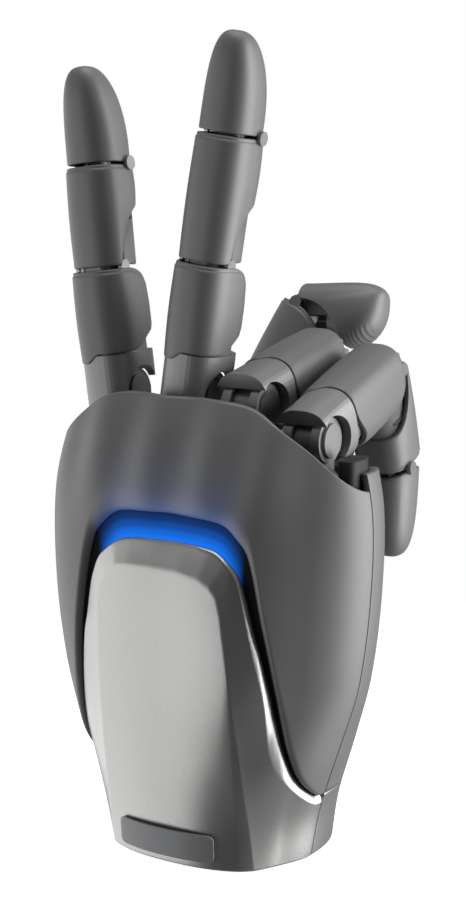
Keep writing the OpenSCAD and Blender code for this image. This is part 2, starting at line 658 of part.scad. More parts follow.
module thumb_meta_frame() at_thumb() color("gray") difference() {
    union() {
        x_bar(4.6, 2 * tongue_half);
        box([-tongue_half, -4.6, 0], [tongue_half, 4.6, 9]);
        translate([0, 0, 8]) linear_extrude(9) section(thumb_inner_w, thumb_inner_d);
        box([-tongue_half, -4.2, 9], [tongue_half, 4.2, thumb_meta]);
        translate([0, 0, thumb_meta]) x_bar(thumb_eye_r, 2 * tongue_half);
    }
    x_bar(joint_pin_r + press_clear, 30);
    translate([0, 0, thumb_meta]) x_bar(joint_pin_r + press_clear, 30);
}

module thumb_meta_cover() at_thumb() color("dimgray") difference() {
    cover(thumb_half_width, thumb_half_depth, 0, function (y) 9, function (y)
        thumb_meta - joint_gap / 2 - 0.45 * max(y, 0));
    translate([0, 0, thumb_meta]) x_bar(pin_head_r + part_clear, 30);
}

module thumb_first_frame() at_thumb_first() color("gray") difference() {
    union() {
        cheeks(tongue_half + part_clear, cheek_out, thumb_eye_r, 9);
        translate([0, 0, 7]) linear_extrude(8) section(thumb_inner_w, thumb_inner_d);
        box([-tongue_half, middle_axis_y - thumb_eye_r, 14], [tongue_half, 1, thumb_first]);
        translate([0, middle_axis_y, thumb_first]) x_bar(thumb_eye_r, 2 * tongue_half);
    }
    x_bar(joint_pin_r + pin_clear, 30);
    translate([0, middle_axis_y, thumb_first]) x_bar(joint_pin_r + pin_clear, 30);
    x_bar(thumb_eye_r + 0.6, 2 * (tongue_half + part_clear));
}

module thumb_first_cover() at_thumb_first() color("dimgray") difference() {
    cover(thumb_half_width, thumb_half_depth, 0, function (y) joint_gap / 2 + 0.45 * max(y, 0),
        function (y) first_end(y, thumb_first));
    x_bar(pin_head_r + part_clear, 30);
    translate([0, middle_axis_y, thumb_first]) x_bar(pin_head_r + part_clear, 30);
}

module thumb_tip_pin() at_thumb_tip() color("silver") joint_pin(thumb_half_width - pin_sunk);

module thumb_tip_frame() at_thumb_tip() color("gray") difference() {
    union() {
        cheeks(tongue_half + part_clear, cheek_out, thumb_eye_r, 13);
        translate([0, -middle_axis_y, 10.5]) linear_extrude(4) section(thumb_inner_w * 0.86,
            thumb_inner_d * 0.86);
    }
    x_bar(joint_pin_r + press_clear, 30);
}

module thumb_tip_cover() at_thumb_tip() color("dimgray") difference() {
    tip_cover_shape(thumb_half_width, thumb_half_depth, -middle_axis_y, thumb_tip,
        function (y) middle_start(y, thumb_half_depth) * 0.85);
    x_bar(pin_head_r + part_clear, 30);
}

back_shell();
palm_shell();
back_cover();
wrist_cuff();
light_strip();
name_plate();
chassis();
wrist_flange();
actuators();
control_board();
swing_pins();
for (f = [0:3]) {
    finger_knuckle(f);
    finger_knuckle_pin(f);
    finger_first_frame(f);
    finger_first_cover(f);
    finger_middle_frame(f);
    finger_middle_cover(f);
    finger_joint_pins(f);
    finger_coupling_rod(f);
    finger_tip_frame(f);
    finger_tip_cover(f);
}
thumb_base();
thumb_root_pins();
thumb_meta_frame();
thumb_meta_cover();
thumb_first_frame();
thumb_first_cover();
thumb_tip_pin();
thumb_tip_frame();
thumb_tip_cover();
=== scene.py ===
"""Dresses the dexterous robot hand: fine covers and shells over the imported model, finishes and the studio."""

import json
import math

import bpy
import numpy as np
from mathutils import Matrix, Vector


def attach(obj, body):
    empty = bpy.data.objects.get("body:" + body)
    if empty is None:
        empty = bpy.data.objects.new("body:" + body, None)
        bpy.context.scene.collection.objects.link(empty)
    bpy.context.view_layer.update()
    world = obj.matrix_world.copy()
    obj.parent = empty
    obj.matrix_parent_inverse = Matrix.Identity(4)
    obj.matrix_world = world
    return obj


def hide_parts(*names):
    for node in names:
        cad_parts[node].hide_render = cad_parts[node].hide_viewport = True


bl_info = {
    "name": "Dexterous Robot Hand",
    "version": (1, 0, 0),
    "blender": (4, 5, 0),
    "location": "View3D > Sidebar > Robot Hand",
    "description": "Builds the covers, shells, finishes and studio of a dexterous robot hand",
    "category": "Object",
}

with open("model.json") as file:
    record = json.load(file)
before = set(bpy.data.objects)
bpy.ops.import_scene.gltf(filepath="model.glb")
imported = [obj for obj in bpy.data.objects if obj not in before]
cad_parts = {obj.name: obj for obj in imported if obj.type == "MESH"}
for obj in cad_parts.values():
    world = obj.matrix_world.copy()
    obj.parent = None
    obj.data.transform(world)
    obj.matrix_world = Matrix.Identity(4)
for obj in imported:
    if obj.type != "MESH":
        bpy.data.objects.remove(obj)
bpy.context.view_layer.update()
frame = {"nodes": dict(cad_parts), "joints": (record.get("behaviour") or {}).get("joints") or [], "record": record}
JOINTS = {joint["name"]: joint for joint in frame["joints"]}
FINGERS = ("index", "middle", "ring", "little")
MM = 0.001
# How square the sections of the covers and of the fingertips are, 2 being an ellipse
TUBE_POWER, TIP_POWER = 2.8, 2.6

# All lengths below are in millimetres. Joint axes off the phalanx's middle line, the covers' edges, the guard that
# fills the middle cover's notch, and the near-black plugs whose colour is painted shade in the covers and beside a
# knuckle
MIDDLE_AXIS, END_AXIS = -2.6, 3.0
END_RATIO = 0.27
COVER_START, COVER_RISE, COVER_SKIRT, JOINT_GAP = 12.0, 5.0, 2.6, 0.8
COVER_ROLL, COVER_CROWN = 0.45, 0.03
RISE_AT, RISE_RUN, SKIRT_AT, SKIRT_RUN = 4, 12, 1, 5
COVER_STEP = ((0.1, 0.12), (0.25, 0.3), (0.28, 0.45))  # inset and rise of the fine step near a cover's far end
FIRST_NOTCH, FIRST_FLAT, FIRST_ROUND = 14.0, 2, 13.2
MID_NOTCH, NOTCH_BEFORE, NOTCH_SPAN = 18.0, 1.2, 1.4
GUARD_HALF, GUARD_DEPTH, GUARD_START, GUARD_PAST = 6.9, 13.6, 0.6, 1.8
GUARD_SLOT_HALF, GUARD_SLOT_START, GUARD_CLEAR, GUARD_TURNS = 3.6, 5.3, 0.3, (-3, 183)
SLOT_GAP, SLOT_FROM, SLOT_DEEPER = 0.5, 3, 0.2
SHADE_PLUG_DEPTH, SHADE_PLUG_EDGE, SHADE_PLUG_SIDES = 15.0, 0.3, 48
PALM_SHADE_PLUG_X, PALM_SHADE_PLUG_Y, PALM_SHADE_PLUG_HALF, PALM_SHADE_PLUG_TOP, PALM_SHADE_PLUG_DEPTH = 44.2, -0.5, (3.2, 5.5), 120.3, 16

# Fingertips and thumb
TIP_LENGTH, THUMB_TIP_LENGTH, TIP_LEAN = 29.0, 27.5, 0.42
TIP_SLANT, TIP_HOLLOW = 0.6, 0.72
TIP_DOME, TIP_TAPER, ROW_BUNCHING, NEAR_TOP = 2.4, 2.9, 1.8, 0.9999
PAD_SPAN, THUMB_PAD_SPAN, RIDGE_DEPTH = (6, 19), (14, 26), 0.22
THUMB_BEND = math.radians(66)
THUMB_START, THUMB_SLANT, THUMB_NOTCH = 9, 0.45, 0.85

# Palm sections from the wrist face up: share of the height, of the width's growth, depth at the back over
# its largest, depth at the palm side over its own, corner power and sideways shift
STATIONS = (
    (0.00, 0.00, 0.0, 0.0, 2.3, 0.0),
    (0.11, 0.21, 0.4, -1.1, 2.3, -1.0),
    (0.25, 0.53, -1.0, 6.0, 2.4, -0.8),
    (0.39, 0.81, 0.0, 3.0, 2.5, -0.5),
    (0.57, 0.98, 0.0, 0.0, 2.6, -0.3),
    (0.75, 1.00, -3.0, -1.5, 2.7, -0.3),
    (0.89, 0.80, -10.0, -2.0, 2.8, -0.5),
    (1.00, 0.58, -18.0, -3.0, 2.8, 0.0),
)
WRIST_STATIONS = 2
FLUTE_START, ROUNDING_START, FADE = 92, 25, 30  # heights where the flutes and the rounder outer corner begin
OUTER_ROUNDING, ROUNDING_FROM, ROUNDING_OVER = 0.6, 0.42, 0.38
# Angles that the back's pieces and the palm side's pieces span, in degrees from +X toward the palm side
BACK_TURNS, PALM_TURNS = (-175.8, -4.2), (-3.8, 183.8)
# Top edges: drop of the back's corners as depth, start, run and power, and steps of the palm side's outer half
BACK_TOP_DOWN, OUTER_DROP, INNER_DROP = 4, (22, 10, 40, 2.4), (16, 24, 26, 2.2)
PALM_TOP, INNER_RISE, OUTER_STEPS, STEP_RUN = 110, 3, ((4, 0.1), (2.5, 0.7)), 0.25

# Rolled edges of the palm's walls
ROLL_STEPS, END_STEPS, END_TURN, SIDE_ROLL, FACE_MARGIN = 9, 5, 0.5, 0.3, 0.5
INNER_FOOT, INNER_SHORT, INNER_ROWS = 0.4, 1, 4  # the wall's inner face: its ends, and every which row it keeps
RIM_STRETCH, RIM_SMOOTHING = 12.0, 13
RIM_BEVEL = 0.7  # how much of the tongue's rim is a flat bevel, the rest a roll
BEVEL_DEPTH, BEVEL_WIDTH, BEVEL_FROM, BEVEL_OVER = 1.5, 2.4, -82, 34
FOOT = 0.4  # gap under the cuff and the tongue
LIP_LEAST, LIP_HEIGHT, LIP_DEPTH, LIP_POWER = 0.5, 6.5, 1.6, 0.7

# The tongue's edge, its raised panel, and the light channel beside it
TONGUE_TURNS = (0, 12, 18, 23, 31, 42, 60, 80, 90)
TONGUE_SHARES = (1, 0.985, 0.942, 0.878, 0.64, 0.352, 0.129, 0.003, 0)
PANEL_HALF, PANEL_MIDDLE, PANEL_FLATTENING, PANEL_EASE, PANEL_EASE_START = 22.5, 1, 1.5, 0.3, 60
STEP_SLOPE, STEP_EASE, STEP_REACH, STEP_LONGER, STEP_START, STEP_OVER = 0.34, 0.05, 5.0, 15.0, 66, 16
FLUSH_TURNS, FLUSH_OVER, DEEPEST, FAR_BELOW = (-176, -4), 25, 3.1, -50
# Outline of the raised panel on the tongue, across and up
PANEL_OUTLINE = (
    (-22.6, -6), (-22.8, 20), (-22.8, 60), (-22.8, 76), (-22.2, 81), (-20.3, 85.4), (-17, 87.8), (-12.7, 88.5),
    (-4, 88.6), (4.9, 88.4), (12.0, 87.2), (15.6, 85.6), (17.9, 83), (19.3, 78), (20.2, 71), (21.5, 60),
    (23.2, 38.5), (24.4, 14), (25.2, -6),
)
SPREAD_LEAST, SPREAD_MORE, SPREAD_POWER = 1.005, 0.145, 2.2
CHANNEL_TURNS, CHANNEL_BELOW, CHANNEL_ABOVE = (-171, -9), 1.2, 0.8
CHANNEL_DEEP, CHANNEL_SLOPE, CHANNEL_POWER = 3.6, 1.3, 1.5
LIT_DOWN, LIT_FADE = 12, 10
# Painted glow on the back shell: strength and reach of the emission that stands in for the channel's light spilling
# over it
PAINTED_GLOW_LEVEL, PAINTED_GLOW_REACH = 0.19, 4.6
CHANNEL_STOPS = ((0.0, 1.05), (0.25, 0.75), (0.5, 0.4), (0.8, 0.16), (1.0, 0.09))  # place and brightness

# Finishes: size of the slow mottling, depth of the fine grain, and how much the roughness varies with it
CLOUD_MM, GRAIN_DEPTH_MM, UNEVEN = 18, 0.02, 0.03

# Studio, in metres: name, place, size and power of each soft box, and the way to the dark front
SOFT_BOXES = (
    ("LeftBox", (-0.86, -0.30, -0.10), (2.0, 1.0), 8),
    ("RightBox", (0.80, 0.40, 0.10), (0.75, 1.2), 14),
    ("TopBox", (0.0, 0.0, 1.0), (0.8, 0.8), 4.5),
)
BOX_AIM = (0, 0, 0.12)
DARK_FRONT = (0.34, -0.94, 0.0)
FLOOR_HALF, FLOOR_HEIGHT, FLOOR_FADE = 0.9, -0.0002, (0.06, 0.3)


class HandSizes(bpy.types.PropertyGroup):
    """Sizes of the hand's shells and covers, in metres."""

    palm_height: bpy.props.FloatProperty(
        name="Palm height", description="Height that the palm's sections span", default=0.140, unit="LENGTH")
    wrist_half_width: bpy.props.FloatProperty(
        name="Wrist half width", description="Half the width of the round wrist end", default=0.033, unit="LENGTH")
    palm_half_width: bpy.props.FloatProperty(
        name="Palm half width", description="Half the palm's greatest width", default=0.0518, unit="LENGTH")
    wrist_depth: bpy.props.FloatProperty(
        name="Wrist half depth", description="Half the depth of the wrist end", default=0.0306, unit="LENGTH")
    back_depth: bpy.props.FloatProperty(
        name="Back depth", description="Depth of the back of the hand", default=0.033, unit="LENGTH")
    palm_depth: bpy.props.FloatProperty(
        name="Palm-side depth", description="Depth of the palm side", default=0.021, unit="LENGTH")
    cuff_height: bpy.props.FloatProperty(
        name="Cuff height", description="Height of the silver cuff", default=0.0206, unit="LENGTH")
    tongue_top: bpy.props.FloatProperty(
        name="Tongue top", description="Height of the tongue on the back", default=0.0967, unit="LENGTH")
    groove: bpy.props.FloatProperty(
        name="Light channel height", description="Height of the light channel over the tongue",
        default=0.0076, unit="LENGTH")
    flute_depth: bpy.props.FloatProperty(
        name="Flute depth", description="Depth of the flutes in line with the fingers",
        default=0.0009, unit="LENGTH")
    shell_wall: bpy.props.FloatProperty(
        name="Shell wall", description="Wall of the palm's shells", default=0.0022, unit="LENGTH")
    cover_wall: bpy.props.FloatProperty(
        name="Cover wall", description="Wall of the finger covers", default=0.0014, unit="LENGTH")
    seam: bpy.props.FloatProperty(
        name="Seam", description="Gap between neighbouring shells", default=0.0003, unit="LENGTH")
    first_half: bpy.props.FloatVectorProperty(
        name="First cover", description="Half width and half depth of a first-phalanx cover",
        default=(0.0091, 0.0111), size=2, unit="LENGTH")
    middle_half: bpy.props.FloatVectorProperty(
        name="Middle cover", description="Half width and half depth of a middle-phalanx cover",
        default=(0.0087, 0.0096), size=2, unit="LENGTH")
    tip_half: bpy.props.FloatVectorProperty(
        name="Fingertip", description="Half width and half depth of a fingertip",
        default=(0.0084, 0.0091), size=2, unit="LENGTH")
    thumb_half: bpy.props.FloatVectorProperty(
        name="Thumb cover", description="Half width and half depth of the thumb's covers",
        default=(0.009, 0.010), size=2, unit="LENGTH")
    ridge_pitch: bpy.props.FloatProperty(
        name="Pad ridge pitch", description="Distance between the grip ridges of a fingertip's pad",
        default=0.0013, unit="LENGTH")


class HandColours(bpy.types.PropertyGroup):
    """Colours of the hand's finishes, as sRGB hex values."""

    shell: bpy.props.StringProperty(
        name="Shells", description="Graphite lacquer", default="#767676")
    frames: bpy.props.StringProperty(
        name="Frames", description="Anodised frames", default="#8E8E8F")
    tongue: bpy.props.StringProperty(
        name="Tongue", description="Silver lacquer", default="#AFAFAE")
    plate: bpy.props.StringProperty(
        name="Plate", description="Bare name plate", default="#8C8D8F")
    pins: bpy.props.StringProperty(
        name="Pins", description="Turned steel", default="#9A9B9C")
    light: bpy.props.StringProperty(
        name="Light", description="Light channel", default="#0A74F4")
    # Near-black colour of the plugs: painted shade in the covers, sockets and gaps
    shade_plugs: bpy.props.StringProperty(
        name="Seals", description="Dark seals and sockets", default="#141415")
    board: bpy.props.StringProperty(
        name="Board", description="Solder mask of the control board", default="#1E4A34")
    drives: bpy.props.StringProperty(
        name="Drives", description="Turned drives", default="#8E8F90")
    diffuser: bpy.props.StringProperty(
        name="Diffuser", description="Unlit light channel", default="#17181B")


class StudioSettings(bpy.types.PropertyGroup):
    """The camera and the light."""

    camera_place: bpy.props.FloatVectorProperty(
        name="Camera", description="Where the camera stands", default=(0.3031, -0.4851, 0.2260), unit="LENGTH")
    camera_turn: bpy.props.FloatVectorProperty(
        name="Camera turn", description="Tilt, roll and heading of the camera", subtype="EULER",
        default=(math.radians(79.2), 0.0, math.radians(31.65)))
    lens: bpy.props.FloatProperty(
        name="Lens", description="Focal length on a 36 mm sensor", default=78.6, unit="CAMERA")
    lamps: bpy.props.FloatProperty(
        name="Lamps", description="Strength of the soft boxes, as a share of the plain level", default=1.0)


def settings():
    """The three groups that the operators read."""
    scene = bpy.context.scene
    return scene.hand_sizes, scene.hand_colours, scene.hand_studio


def linear(code):
    """Linear colour of an sRGB hex value."""
    parts = [int(code[i:i + 2], 16) / 255 for i in (1, 3, 5)]
    return [p / 12.92 if p <= 0.04045 else ((p + 0.055) / 1.055) ** 2.4 for p in parts] + [1.0]


def add(tree, kind, inputs=None, **values):
    """Adds a node with its settings; inputs gives each socket a value or another node's output."""
    made = tree.nodes.new(kind)
    for key, value in values.items():
        setattr(made, key, value)
    for socket, value in (inputs or {}).items():
        if isinstance(value, bpy.types.NodeSocket):
            tree.links.new(value, made.inputs[socket])
        else:
            made.inputs[socket].default_value = value
    return made


def new_material(name):
    """An empty material and its node tree."""
    material = bpy.data.materials.new(name)
    material.use_nodes = True
    material.node_tree.nodes.clear()
    return material, material.node_tree


def finish_of(name, colour, metallic, roughness, grain_mm, bump, mottle=0.06, glow=None):
    """A lacquered, blasted or moulded surface: fine grain in bump and roughness, slow mottling in the colour;
    glow is the colour of a painted glow, emission that stands in for light spilling over it, where its UV layer of
    that name says."""
    found = bpy.data.materials.get(name)
    if found:
        return found
    material, tree = new_material(name)
    place = add(tree, "ShaderNodeTexCoord").outputs["Object"]
    grain = add(tree, "ShaderNodeTexNoise", {"Vector": place, "Scale": 1 / (grain_mm * MM), "Detail": 3.0})
    cloud = add(tree, "ShaderNodeTexNoise", {"Vector": place, "Scale": 1 / (CLOUD_MM * MM), "Detail": 2.0})
    tint = add(tree, "ShaderNodeMix", {"Factor": cloud.outputs["Fac"]}, data_type="RGBA")
    base = linear(colour)
    tint.inputs["A"].default_value = [c * (1 - mottle) for c in base[:3]] + [1]
    tint.inputs["B"].default_value = [c * (1 + mottle) for c in base[:3]] + [1]
    rough = add(tree, "ShaderNodeMapRange", {"Value": grain.outputs["Fac"], "From Min": 0.3, "From Max": 0.7,
                                             "To Min": roughness - UNEVEN, "To Max": roughness + UNEVEN})
    relief = add(tree, "ShaderNodeBump", {"Height": grain.outputs["Fac"], "Strength": bump,
                                          "Distance": GRAIN_DEPTH_MM * MM})
    shader = add(tree, "ShaderNodeBsdfPrincipled",
                 {"Base Color": tint.outputs["Result"], "Roughness": rough.outputs["Result"],
                  "Normal": relief.outputs["Normal"], "Metallic": metallic})
    if glow:
        painted_spill = add(tree, "ShaderNodeSeparateXYZ",
                    {"Vector": add(tree, "ShaderNodeUVMap", uv_map="glow").outputs["UV"]})
        shader.inputs["Emission Color"].default_value = linear(glow)
        tree.links.new(painted_spill.outputs["X"], shader.inputs["Emission Strength"])
    add(tree, "ShaderNodeOutputMaterial", {"Surface": shader.outputs["BSDF"]})
    return material


def shell_lacquer():
    """Graphite metallic lacquer on moulded nylon: soft broad highlights over a dark ground."""
    return finish_of("graphite_lacquered_nylon", settings()[1].shell, 0.25, 0.48, 0.5, 0.12)


def painted_glow_lacquer():
    """The same graphite lacquer with a painted blue glow: emission that stands in for the channel's light where it
    spills over the shell's edge.
    """
    colours = settings()[1]
    return finish_of("graphite_lacquered_nylon_painted_glow", colours.shell, 0.25, 0.48, 0.5, 0.12, glow=colours.light)


def frame_anodised():
    """Bead-blasted grey anodised aluminium: a fine even grain that scatters the highlights."""
    return finish_of("bead_blasted_anodised_aluminium", settings()[1].frames, 0.5, 0.42, 0.35, 0.12)


def tongue_lacquer():
    """Silver metallic lacquer on cast aluminium: bright, with a slow satin sheen."""
    return finish_of("silver_lacquered_aluminium", settings()[1].tongue, 0.85, 0.3, 0.4, 0.012, mottle=0.012)


def plate_finish():
    """Etched grey anodised plate, left bare."""
    return finish_of("etched_anodised_plate", settings()[1].plate, 0.3, 0.5, 0.3, 0.2)


def pin_steel():
    """Turned stainless steel: bright, tight highlights."""
    return finish_of("turned_stainless_steel", settings()[1].pins, 1.0, 0.32, 0.2, 0.04)


def shade_plug_black():
    """Near-black finish of the plugs in the sockets and gaps: painted shade where only shade would show."""
    return finish_of("near_black_shade_plug", settings()[1].shade_plugs, 0.0, 0.6, 0.4, 0.5)


def board_mask():
    """Printed solder mask over glass epoxy: green, with a soft gloss."""
    return finish_of("soldermask_glass_epoxy", settings()[1].board, 0.0, 0.45, 0.4, 0.3)


def drive_metal():
    """Turned aluminium housings of the drives: bright, with a fine grain."""
    return finish_of("turned_aluminium_drive", settings()[1].drives, 1.0, 0.35, 0.3, 0.3)


def channel_light():
    """Diffuser of moulded acrylic over the lamps: brightest at the tongue's edge, fading up and sideways."""
    name = "moulded_acrylic_light_channel"
    found = bpy.data.materials.get(name)
    if found:
        return found
    material, tree = new_material(name)
    layout = add(tree, "ShaderNodeUVMap", uv_map="channel").outputs["UV"]
    split = add(tree, "ShaderNodeSeparateXYZ", {"Vector": layout})
    rise = add(tree, "ShaderNodeValToRGB", {"Fac": split.outputs["Y"]})
    colours = settings()[1]
    rise.color_ramp.interpolation = "EASE"
    while len(rise.color_ramp.elements) < len(CHANNEL_STOPS):
        rise.color_ramp.elements.new(0.5)
    for stop, (place, level) in zip(rise.color_ramp.elements, CHANNEL_STOPS):
        stop.position = place
        stop.color = [c * level for c in linear(colours.light)[:3]] + [1]
    side = add(tree, "ShaderNodeMapRange", {"Value": split.outputs["X"]}, interpolation_type="SMOOTHSTEP")
    lit = add(tree, "ShaderNodeMix", {"Factor": side.outputs["Result"], "A": (0, 0, 0, 1),
                                      "B": rise.outputs["Color"]}, data_type="RGBA")
    back = add(tree, "ShaderNodeNewGeometry").outputs["Backfacing"]
    outward = add(tree, "ShaderNodeMix", {"Factor": back, "A": lit.outputs["Result"], "B": (0, 0, 0, 1)},
                  data_type="RGBA")
    shader = add(tree, "ShaderNodeBsdfPrincipled",
                 {"Base Color": linear(colours.diffuser), "Roughness": 0.7, "Specular IOR Level": 0.1,
                  "Emission Color": outward.outputs["Result"], "Emission Strength": 1.0})
    add(tree, "ShaderNodeOutputMaterial", {"Surface": shader.outputs["BSDF"]})
    return material


def make_object(name, points, faces, material, body, nodes=(), uv=None):
    """Object from points in millimetres, riding on a body and standing for the given CAD nodes."""
    mesh = bpy.data.meshes.new(name)
    mesh.from_pydata((np.asarray(points, float) * MM).tolist(), [], [list(map(int, f)) for f in faces])
    mesh.validate()
    mesh.shade_smooth()
    if uv is not None:
        layer = mesh.uv_layers.new(name=uv[0])
        for loop in mesh.loops:
            layer.data[loop.index].uv = uv[1][loop.vertex_index]
    mesh.materials.append(material)
    made = bpy.data.objects.new(name, mesh)
    bpy.context.scene.collection.objects.link(made)
    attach(made, body)
    if nodes:
        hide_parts(*nodes)
    return made


def sheet_faces(rows, columns, ring_rows=False, ring_columns=False, flip=False):
    """Quads over a grid of rows by columns points, closed where asked."""
    i, j = np.meshgrid(np.arange(rows if ring_rows else rows - 1),
                       np.arange(columns if ring_columns else columns - 1), indexing="ij")
    i2, j2 = (i + 1) % rows, (j + 1) % columns
    corners = ((i, j), (i, j2), (i2, j2), (i2, j))
    quads = np.stack([row * columns + column for row, column in corners], -1).reshape(-1, 4)
    return quads[:, ::-1] if flip else quads


def capped_faces(rings, steps):
    """Faces over stacked rings of points, closed at both ends."""
    last = (rings - 1) * steps
    faces = list(sheet_faces(rings, steps, ring_columns=True, flip=True))
    return faces + [list(range(steps)), [last + i for i in range(steps - 1, -1, -1)]]


def slopes(xs, ys):
    """Slope at each point of a curve, from its neighbours."""
    place = np.arange(len(xs))
    before, after = np.maximum(place - 1, 0), np.minimum(place + 1, len(xs) - 1)
    return (ys[after] - ys[before]) / (xs[after] - xs[before])


def curve(xs, ys, x):
    """Smooth curve through the points xs, ys."""
    xs, ys, x = np.asarray(xs, float), np.asarray(ys, float), np.asarray(x, float)
    m = slopes(xs, ys)
    i = np.clip(np.searchsorted(xs, x, side="right") - 1, 0, len(xs) - 2)
    h = xs[i + 1] - xs[i]
    t = (x - xs[i]) / h
    return ((2 * t**3 - 3 * t**2 + 1) * ys[i] + (t**3 - 2 * t**2 + t) * h * m[i]
            + (3 * t**2 - 2 * t**3) * ys[i + 1] + (t**3 - t**2) * h * m[i + 1])


def ramp(t):
    """Smooth step from 0 to 1."""
    s = np.clip(t, 0, 1)
    return s * s * (3 - 2 * s)


def rounded(c, power):
    """Corner rounding of a section."""
    return np.sign(c) * np.abs(c) ** (2 / power)


class Palm:
    """The palm's outer surface, in millimetres."""

    def __init__(self, sizes):
        self.height, self.wrist = sizes.palm_height / MM, sizes.wrist_half_width / MM
        self.half, self.cuff, self.top = sizes.palm_half_width / MM, sizes.cuff_height / MM, sizes.tongue_top / MM
        self.groove, self.seam, self.flute = sizes.groove / MM, sizes.seam / MM, sizes.flute_depth / MM
        self.wall = sizes.shell_wall / MM
        table = np.array(STATIONS)
        wrist = np.arange(len(table)) < WRIST_STATIONS
        self.z = table[:, 0] * self.height
        self.width = self.wrist + table[:, 1] * (self.half - self.wrist)
        self.back = np.where(wrist, sizes.wrist_depth, sizes.back_depth) / MM + table[:, 2]
        self.front = np.where(wrist, sizes.wrist_depth, sizes.palm_depth) / MM + table[:, 3]
        self.power, self.shift = table[:, 4], table[:, 5]
        joints = [JOINTS[f + "_bend"]["pos_m"][0] / MM for f in FINGERS]
        self.flute_x, self.flute_pitch = joints[1], (joints[3] - joints[1]) / 2

    def point(self, turn, z, inset=0.0):
        """Points of the surface, sunk by inset, at angles in degrees from +X toward the palm side."""
        turn, z = np.radians(turn), np.asarray(z, float)
        power = curve(self.z, self.power, z)
        across = rounded(np.cos(turn), power)
        x = curve(self.z, self.shift, z) + (curve(self.z, self.width, z) - inset) * across
        flute = self.flute * np.cos(2 * np.pi * (x - self.flute_x) / self.flute_pitch) * ramp((z - FLUTE_START) / FADE)
        depth = np.where(np.sin(turn) < 0, curve(self.z, self.back, z) + flute, curve(self.z, self.front, z))
        deep = rounded(np.sin(turn), power)
        outer = (deep < 0) & (across > 0)
        round_power = power - OUTER_ROUNDING * ramp((z - ROUNDING_START) / FADE)
        rounder = -np.clip(1 - np.abs(across) ** round_power, 0, 1) ** (1 / round_power)
        deep = np.where(outer, deep + (rounder - deep) * ramp((across - ROUNDING_FROM) / ROUNDING_OVER), deep)
        return np.stack([x, (depth - inset) * deep, z + 0 * x], -1)

    def tongue_edge(self, turn):
        """Height of the tongue's edge."""
        share = curve(TONGUE_TURNS, TONGUE_SHARES, np.minimum(np.abs(turn + 90), 90))
        return self.cuff + share * (self.top - self.cuff)

    def rise(self, z):
        """Share of the way from the cuff up to the tongue's top."""
        return np.clip((z - self.cuff) / (self.top - self.cuff), 0, 1)

    def channel_edge(self, turn):
        """The tongue's edge, widened to the light channel's: most at its top, little down its sides."""
        spread = SPREAD_LEAST + SPREAD_MORE * self.rise(self.tongue_edge(turn)) ** SPREAD_POWER
        return self.tongue_edge(-90 + (turn + 90) / spread)

    def groove_edge(self, turn):
        """Height of the dark shell's lower edge."""
        z = self.channel_edge(turn)
        return z + self.seam + self.groove * self.rise(z) ** 2

    def lit(self, turn):
        """Where the light channel is lit: along its top, fading out a little way down its sides."""
        return np.clip((self.tongue_edge(turn) - self.top + LIT_DOWN) / LIT_FADE, 0, 1)

    def back_top(self, turn):
        """Height of the back shell's top edge."""
        x = self.half * rounded(np.cos(np.radians(turn)), TUBE_POWER)
        outer, inner = (depth * (np.maximum(side - start, 0) / run) ** power
                        for side, (depth, start, run, power) in ((x, OUTER_DROP), (-x, INNER_DROP)))
        return self.height - BACK_TOP_DOWN - np.where(x > 0, outer, inner)

    def palm_top(self, turn):
        """Height of the palm-side shell's top edge."""
        across = np.cos(np.radians(turn))
        steps = sum(rise * ramp((across - start) / STEP_RUN) for rise, start in OUTER_STEPS)
        return PALM_TOP + np.where(across < 0, INNER_RISE * across ** 4, steps)

    def turn_at(self, x, z):
        """Angle of the point of the back at x."""
        share = (x - curve(self.z, self.shift, z)) / curve(self.z, self.width, z)
        c = np.sign(share) * np.abs(share) ** (curve(self.z, self.power, z) / 2)
        return -np.degrees(np.arccos(np.clip(c, -1, 1)))


def wall_profile(palm, turn, low, high, rows, edge, rim_width, lower_roll, sink):
    """Closed section of a palm wall at each angle, with rolled edges; sink adds to the inset of the face."""
    share = np.linspace(0, 1, rows)
    quarter = np.linspace(0, np.pi / 2, ROLL_STEPS)
    run = np.linalg.norm(np.gradient(palm.point(turn, high)[:, :2], axis=0), axis=1)
    rim = rim_width * np.minimum(np.hypot(1, np.gradient(high) / np.maximum(run, 0.01)), RIM_STRETCH)
    rim = np.minimum(rim, np.maximum((high - low) / 3, 0.1))
    rim = np.pad(rim, RIM_SMOOTHING // 2, mode="edge")
    rim = np.convolve(rim, np.ones(RIM_SMOOTHING) / RIM_SMOOTHING, mode="valid")
    start, stop = low + lower_roll[0], high - rim
    straight = RIM_BEVEL * (rim_width > edge)
    section = [(low + lower_roll[0] * (1 - np.cos(a)), lower_roll[1] * (1 - np.sin(a))) for a in quarter[:-1]]
    section += [(start + (stop - start) * s, 0) for s in share]
    for a in quarter[1:]:
        along = a / quarter[-1] * straight
        section.append((high - rim * (1 - along - (1 - straight) * np.sin(a)),
                        edge * (along + (1 - straight) * (1 - np.cos(a)))))
    section.append((high, palm.wall))
    section += [(low + INNER_FOOT + (high - low - INNER_SHORT) * s, palm.wall)
                for s in share[::-1][::INNER_ROWS]]
    section.append((low, palm.wall))
    columns = []
    for z, inset in section:
        z, inset = z + 0 * turn, inset + 0 * turn
        columns.append(palm.point(turn, z, inset + sink(turn, z, inset)))
    return np.stack(columns, 1)


